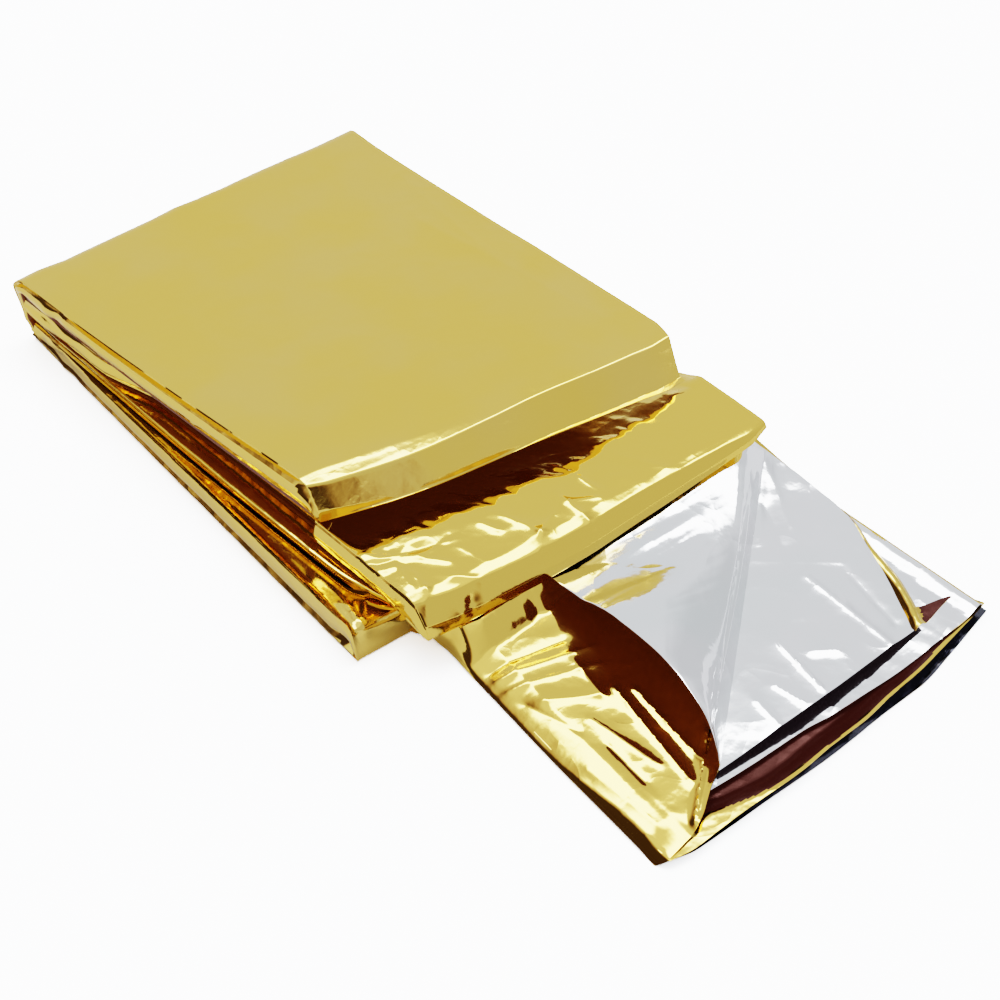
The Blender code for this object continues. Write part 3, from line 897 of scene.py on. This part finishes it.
def silverHeight(x, y):
    z = silverBase(x, y) + creases(x, y, silverTopLook["creases"])
    return z + crumple(x, y, silverTopLook["crumple"])


def silverRight(x):
    return along(silverTopLook["right"], x)


# its underside is painted in shade with the near-black film
silverTop = plainLeaf(
    "silver_top",
    (silverTopLook["near"], silverTopLook["right"],
     lambda y: lerp(creaseX(y) - 0.9, silverTopLook["hiddenBack"], ramp(y, 66, 10)), silverTopLook["frontX"]),
    silverHeight, (silverFilm, deepPaintedShade), 0.6, 0.45)

# the sliver of gold where the silver leaf's right edge is turned over, and the point at its front end
sliverLook = {
    "back": 163.0,
    "front": 195.4,
    "wide": 3.0,
    "past": 0.3,  # how far it comes past the silver leaf's edge
    "rollHigh": 1.1,
    "point": 9.5,  # how far the point comes out
    "pointFrom": 0.45,  # so far past the silver leaf's edge it is painted in shade
    "crumple": ((0.05, 2.0, 63),),
}


def sliverHeight(x, y):
    inward = silverRight(x) + sliverLook["past"] - y
    roll = sliverLook["rollHigh"] * np.sin(np.clip(inward / 3.3, 0, 1) * math.pi)
    return silverBase(x, y) + 0.25 + roll + crumple(x, y, sliverLook["crumple"])


# the far part of its point is painted in shade with dark gold
goldSliver = plainLeaf(
    "gold_sliver",
    (lambda x: silverRight(x) - sliverLook["wide"] * ramp(x, 160, 30),
     lambda x: silverRight(x) + sliverLook["past"] + sliverLook["point"] * ramp(x, 191.0, 2.8),
     sliverLook["back"], lambda y: sliverLook["front"] - 1.5 * ramp(y, 92.6, 2.6)),
    sliverHeight, (goldFilm, goldFilm, lipPaintedShade), 0.5, 0.15,
    lambda x, y: y > silverRight(x) + sliverLook["pointFrom"])

silverBelowLook = {
    "front": ((28, 196), (42, 197), (55, 197.5), (63, 198.5), (72, 199), (82, 199.5), (98, 199.5),
              (108, 198.5)),
    "frontZ": ((28, 2.0), (42, 1.8), (72, 1.8), (82, 2.0), (90, 2.4), (98, 2.7), (110, 2.7)),
    "inset": 0.2,  # how far it stays inside the strip's right edge
    "ridge": 0.7,
    "rimDown": 1.6,  # how far its right rim is bent down, over which width
    "rimWide": 1.4,
    "goldRim": 1.9,
    "crumple": ((0.08, 5.0, 71, 2.0, 10),),
    "rightCrumple": ((0.06, 2.0, 72, 4.0, 3),),
}


def silverBelowHeight(x, y):
    # low in the open end, and up to the strip's right edge, with a ridge along it
    outward = rightEdge(x) - silverBelowLook["inset"] - y
    right = ease((y - silverRight(x) + 6) / 5)
    flat = along(silverBelowLook["frontZ"], y)
    z = lerp(flat, lerp(openTop(x, y) - 0.5, flat + 0.3, ramp(x, 160, 36)), right)
    z = z + silverBelowLook["ridge"] * ease((5.6 - outward) / 3.0) * right
    rim = np.sin(np.clip(outward / silverBelowLook["rimWide"], 0, 1) * math.pi / 2)
    z = z - silverBelowLook["rimDown"] * (1 - rim) + crumple(x, y, silverBelowLook["crumple"])
    return z + crumple(x, y, silverBelowLook["rightCrumple"]) * right


# its underside is painted in shade with the near-black film
silverBelow = plainLeaf(
    "silver_below",
    (lambda x: lerp(85.0, 29.0, ramp(x, 170, 5)), lambda x: rightEdge(x) - silverBelowLook["inset"],
     lambda y: lerp(172.0, 134.0, ramp(y, 84, 12)), silverBelowLook["front"]),
    silverBelowHeight, (silverFilm, deepPaintedShade, goldFilm), 0.7, 0.5,
    lambda x, y: y > rightEdge(x) - silverBelowLook["goldRim"])

goldLipLook = {
    "front": ((14, 203), (20.5, 204), (29, 204), (47, 204.5), (57, 204), (64, 204), (74.5, 203),
              (82.5, 202.5), (90, 201.5), (102.5, 199.5), (108, 198.5)),
    # the front of the leaf under it
    "outline": ((13, 201.5), (21, 203.5), (38, 204), (56, 204.5), (73, 204), (81, 204), (94, 202), (104, 200),
                (109, 199)),
    "level": ((14, 5.0), (24, 4.2), (34, 1.6), (44, 0.4), (110, 0.3)),  # how wide its flat rim is
    "height": ((14, 2.0), (30, 2.6), (60, 2.9), (90, 2.8), (108, 2.3)),
    "back": 187.0,
    "backZ": 0.6,
    "rise": 4.2,  # it rises to its rim over this length
    "crumple": ((0.08, 4.4, 81, 1.4, 70), (0.03, 1.6, 82, 1.4, 20)),
    "shadeCrumple": ((0.5, 3.0, 83, 2.0, 70),),
    "lowerZ": 0.25,
    "lowerCrumple": ((0.09, 4.0, 91),),
}


def lipHeight(x, y):
    front = along(goldLipLook["front"], y) - along(goldLipLook["level"], y)
    crest = along(goldLipLook["height"], y)
    t = np.clip((x - front + goldLipLook["rise"]) / goldLipLook["rise"], 0, 1)
    return lerp(goldLipLook["backZ"], crest, t) + crumple(x, y, goldLipLook["crumple"]) * ramp(x, 196, 4)


def lipShade(x, y):
    # where it is painted in shade: under the silver leaves, apart from its rim
    rim = along(goldLipLook["level"], y) + 0.7 + crumple(x, y, goldLipLook["shadeCrumple"])
    return x < along(goldLipLook["front"], y) - rim


# its top is painted in shade with dark gold behind its rim
goldLip = plainLeaf(
    "gold_lip", (14.0, lambda x: rightEdge(x) + 0.5, goldLipLook["back"], goldLipLook["front"]),
    lipHeight, (goldFilm, silverFilm, lipPaintedShade), 0.4, 0.5, lipShade)
# its top is painted in shade with the dark rim film
lowerLeaf = plainLeaf(
    "lower_leaf", (13.0, lambda x: rightEdge(x) + 0.9, goldLipLook["back"], goldLipLook["outline"]),
    lambda x, y: goldLipLook["lowerZ"] + crumple(x, y, goldLipLook["lowerCrumple"]), (layerEdgesAndShade, goldFilm))

goldTopLook = {
    # its front edge: (y, x)
    "front": ((12, 200.5), (14.5, 202.5), (20, 202), (22.5, 201.5), (31, 196.5), (35.5, 194), (40, 189),
              (52, 175)),
    # where it begins to rise towards tier two's lip: (y, x)
    "crest": ((9, 141.5), (15.5, 143.5), (23, 144), (32, 143.5), (37, 143.5), (52, 143)),
    "back": 122.0,
    "far": 47.0,
    "over": 0.15,  # how far it lies above the height that flankTop gives
    "riseHigh": 5.0,
    "riseSlope": 0.9,
    "underLip": 1.0,  # it stays this far under tier two's lip
    "bentUp": 0.9,
    "bentDown": 0.8,
    "creases": (
        (167.5, 32.5, 193, 28.5, 0.5, 0.9), (170, 35.5, 190.5, 33.5, 0.5, 0.8),
        (177, 22.5, 187.5, 22, -0.4, 0.8), (149.5, 15, 156, 36, 0.3, 0.9),
        (152.5, 14, 160.5, 34.5, 0.3, 0.8), (147.5, 17, 151, 33, -0.3, 0.9),
        (157, 31, 166, 29.5, 0.5, 1.8), (160.5, 20, 166.5, 29, 0.45, 1.5),
        (170, 24, 186, 26.5, 0.3, 1), (187, 39, 200.5, 22.5, 0.9, 1),
        (178, 16, 196, 17, 0.2, 1.2), (158, 17, 170, 20, -0.3, 1),
    ),
    "crestCrumple": ((0.8, 3.0, 45),),
    "crumple": ((0.08, 6.0, 41, 2.0, 15), (0.04, 2.6, 42, 2.2, 60)),
}


def goldTopHeight(x, y):
    z = flankTop(x, y) + goldTopLook["over"]
    inward = ease((y - along(openEnd["near"], x)) / 3)
    behind = along(goldTopLook["crest"], y) + crumple(y, 0 * y, goldTopLook["crestCrumple"]) - x
    # under tier two's lip it rises to meet it
    lipZ = along(tierTwo["lipZ"], shareAcross("two", x, y))
    under = np.maximum(lipZ - goldTopLook["underLip"] - z, 0)
    most = goldTopLook["riseHigh"]
    rising = most * np.tanh(goldTopLook["riseSlope"] * rise(behind, -0.5, 1.5) / most)
    z = z + np.minimum(rising, under) * inward
    # its front edge is bent up near the crease, and down at the near corner
    fromCorner = ramp(y, 20, 4)
    edge = (along(goldTopLook["front"], y) - x) * fromCorner
    bentUp = goldTopLook["bentUp"] * np.exp(-edge / 1.2)
    z = z + bentUp * fromCorner * ramp(x, 184, 6) * (1 - ramp(y, 33, 4))
    z = z - goldTopLook["bentDown"] * ramp(x, 196, 6) * (1 - fromCorner)
    rough = crumple(x, y, goldTopLook["crumple"]) * (0.3 + 0.7 * inward)
    return z + rough + creases(x, y, goldTopLook["creases"]) * inward


goldTop = plainLeaf(
    "gold_top", (openEnd["near"], goldTopLook["far"], goldTopLook["back"], goldTopLook["front"]),
    goldTopHeight, (creasedGold, silverFilm), 0.45, 0.35)
print("leaves made")

# what each piece is: its slot, its flat size in metres, its flat area where that isn't a rectangle, and
# what it lies on
cloth = (
    (tierFourPiece, "gold_film", (0.097, 0.140), None, ()),
    (tierThreePiece, "gold_film", (0.097, 0.192), None, (tierFourPiece,)),
    (tierTwoPiece, "gold_film", (0.097, 0.150), None, (tierThreePiece,)),
    (tierOnePiece, "gold_film", (0.097, 0.150), None, (tierTwoPiece,)),
    (lowerLeaf, "silver_film", (0.090, 0.017), None, ()),
    (goldLip, "gold_film", (0.090, 0.017), None, (lowerLeaf,)),
    (silverBelow, "silver_film", (0.075, 0.065), 0.0033, (goldLip,)),
    (goldTop, "gold_film", (0.034, 0.079), None, (tierThreePiece,)),
    (silverTop, "silver_film", (0.070, 0.077), 0.0029, (silverBelow,)),
    (cornerPiece, "silver_film", (0.086, 0.062), 0.0023, (silverTop,)),
)
for piece, slotName, flat, area, under in cloth:
    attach(piece, "root")
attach(goldSliver, "root")
goldSliver.visible_glossy = False  # its mirror image would draw a line across the turned corner
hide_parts("foil_blanket")

# floor, light and camera
studio = {
    "floorSize": 12.0,
    "floor": (0.70, 0.70, 0.71, 1),
    "floorShown": (5.0, 5.0, 5.0, 1),  # as the camera sees it
    "skyShown": (1, 1, 1, 1),
    "skyShownLight": 5.0,
    "up": (0.0, 0.0, 1.0),
    "towardCamera": (0.783, -0.622, 0.0),
    "right": (0.640, 0.770, 0.0),
    "straight": (-0.544, 0.452, 0.707),  # what level film mirrors to the camera
    "overheadLight": 6.0,
    "roomLight": 0.82,
    "rightLight": 0.68,
    "farRightLess": 0.20,
    "highMore": 0.3,
    "darkLight": 0.05,
    "lightColour": (0.96, 1.0, 1.04, 1),
    "darkColour": (1.3, 0.92, 0.72, 1),
}


def shownAs(tree, plain, shown):
    # shown to the camera, plain to everything else
    cameraRay = Sock.node(tree, "ShaderNodeLightPath", output="Is Camera Ray")
    return Sock.node(tree, "ShaderNodeMixShader", {}, {0: cameraRay, 1: plain, 2: shown})


def makeFloor():
    material = bpy.data.materials.new("floor_white")
    material.use_nodes = True
    tree = material.node_tree
    tree.nodes.clear()
    plain, shown = (Sock.node(tree, "ShaderNodeBsdfDiffuse", {}, {"Color": studio[key]})
                    for key in ("floor", "floorShown"))
    Sock.node(tree, "ShaderNodeOutputMaterial", {}, {"Surface": shownAs(tree, plain, shown)})
    bpy.ops.mesh.primitive_plane_add(size=studio["floorSize"], location=(0, 0, -0.0001))
    floor = bpy.context.object
    floor.name = "floor"
    floor.data.materials.append(material)
    return floor


def makeLight():
    world = bpy.data.worlds.new("studio")
    bpy.context.scene.world = world
    world.use_nodes = True
    tree = world.node_tree
    tree.nodes.clear()
    direction = Sock.node(tree, "ShaderNodeTexCoord", output="Generated")
    height, camSide, rightSide, straight = (
        direction.dot(studio[key]) for key in ("up", "towardCamera", "right", "straight"))
    # a lamp overhead, but not where level film would mirror it to the camera
    lamp = height.step(0.78, 0.84) * (1 - straight.step(0.955, 0.975)) * (1 - camSide.step(-0.30, -0.12))
    # a room that is dimmer on the right
    rightLess = studio["roomLight"] - studio["rightLight"]
    room = studio["roomLight"] - rightSide.step(0.15, 0.5) * camSide.step(-0.4, 0.1) * rightLess
    room = room - rightSide.step(0.3, 0.55) * (1 - camSide.step(-0.6, -0.3)) * studio["farRightLess"]
    # and dark low down in front and on the left
    darkFront = camSide.step(0.72, 0.90) * (1 - height.step(0.2, 0.5))
    darkLeft = (0.0 - rightSide).step(0.45, 0.75) * (1 - height.step(0.60, 0.82))
    dark = darkFront.math("MAXIMUM", darkLeft)
    room = room + height.step(0.74, 0.86) * studio["highMore"]
    room = room * (1 - dark) + dark * studio["darkLight"]
    sky = Sock.node(tree, "ShaderNodeBackground", {}, {
        "Color": dark.mix(studio["lightColour"], studio["darkColour"]),
        "Strength": room + lamp * studio["overheadLight"],
    })
    skyShown = Sock.node(tree, "ShaderNodeBackground", {}, {
        "Color": studio["skyShown"],
        "Strength": studio["skyShownLight"],
    })
    Sock.node(tree, "ShaderNodeOutputWorld", {}, {"Surface": shownAs(tree, sky, skyShown)})


floor = makeFloor()
makeLight()

view = {"spot": (0.2379, -0.1891, 0.2930), "facing": (-0.544, 0.452, -0.707), "lens": 67.5, "sensor": 36.0}
camera = bpy.data.objects.new("camera", bpy.data.cameras.new("camera"))
camera.data.lens = view["lens"]
camera.data.sensor_width = view["sensor"]
camera.data.clip_start = 0.01
camera.location = view["spot"]
camera.rotation_euler = Vector(view["facing"]).to_track_quat("-Z", "Y").to_euler()
bpy.context.scene.collection.objects.link(camera)
bpy.context.scene.camera = camera
bpy.context.scene.view_settings.view_transform = "Filmic"
bpy.context.scene.view_settings.look = "High Contrast"
